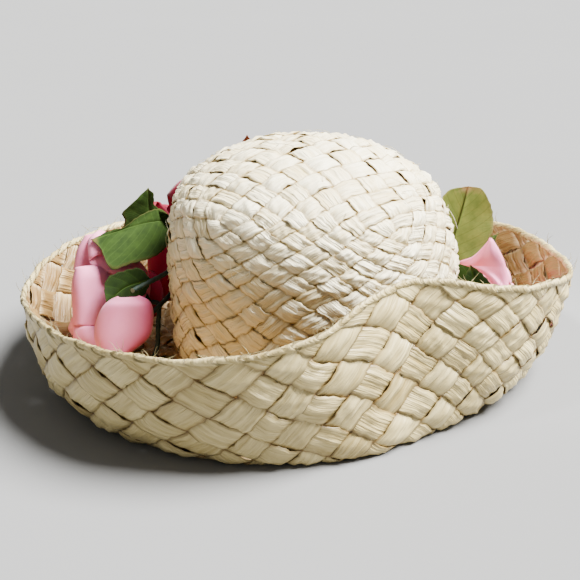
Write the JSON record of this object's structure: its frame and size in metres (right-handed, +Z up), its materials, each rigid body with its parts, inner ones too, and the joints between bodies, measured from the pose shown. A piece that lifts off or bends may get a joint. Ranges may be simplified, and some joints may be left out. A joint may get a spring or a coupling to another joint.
{
  "type": "straw hat",
  "caption": "Woven straw hat with a high domed crown, a wide brim rolled up all round, and a garland of cloth roses and leaves in the rolled brim.",
  "frame": {"origin": "middle of the hat's bounding box, on the surface that the brim rests on", "axes": "+Z up through the crown, -Y towards the back of the hat (the side that the picture shows), +X to the right in the picture"},
  "size_m": [0.3377, 0.3297, 0.144],
  "materials": {
    "crown_straw": "woven natural straw, slightly glossy",
    "brim_straw": "woven natural straw, slightly glossy",
    "pink_petals": "matt dyed cloth",
    "red_petals": "matt dyed cloth",
    "stem_tape": "wound paper tape over wire",
    "leaf_cloth": "printed cloth, stiffened"
  },
  "bodies": {
    "root": {"crown": "crown_straw", "brim": "brim_straw", "rose_pink_left": "pink_petals", "rose_red_left": "red_petals", "rose_pink_far": "pink_petals", "rose_red_right": "red_petals", "rose_pink_right": "pink_petals", "stem_red_left": "stem_tape", "stem_leaves_left": "stem_tape", "stem_pink_left": "stem_tape", "stem_pink_far": "stem_tape", "stem_red_right": "stem_tape", "stem_pink_right": "stem_tape", "stem_leaf_right": "stem_tape", "leaf_left_front": "leaf_cloth", "leaf_left_up": "leaf_cloth", "leaf_left_low": "leaf_cloth", "leaf_left_floor": "leaf_cloth", "leaf_back_tall": "leaf_cloth", "leaf_far_left": "leaf_cloth", "leaf_far_middle": "leaf_cloth", "leaf_far_right": "leaf_cloth", "leaf_right_up": "leaf_cloth", "leaf_right_low": "leaf_cloth"}
  },
  "joints": []
}
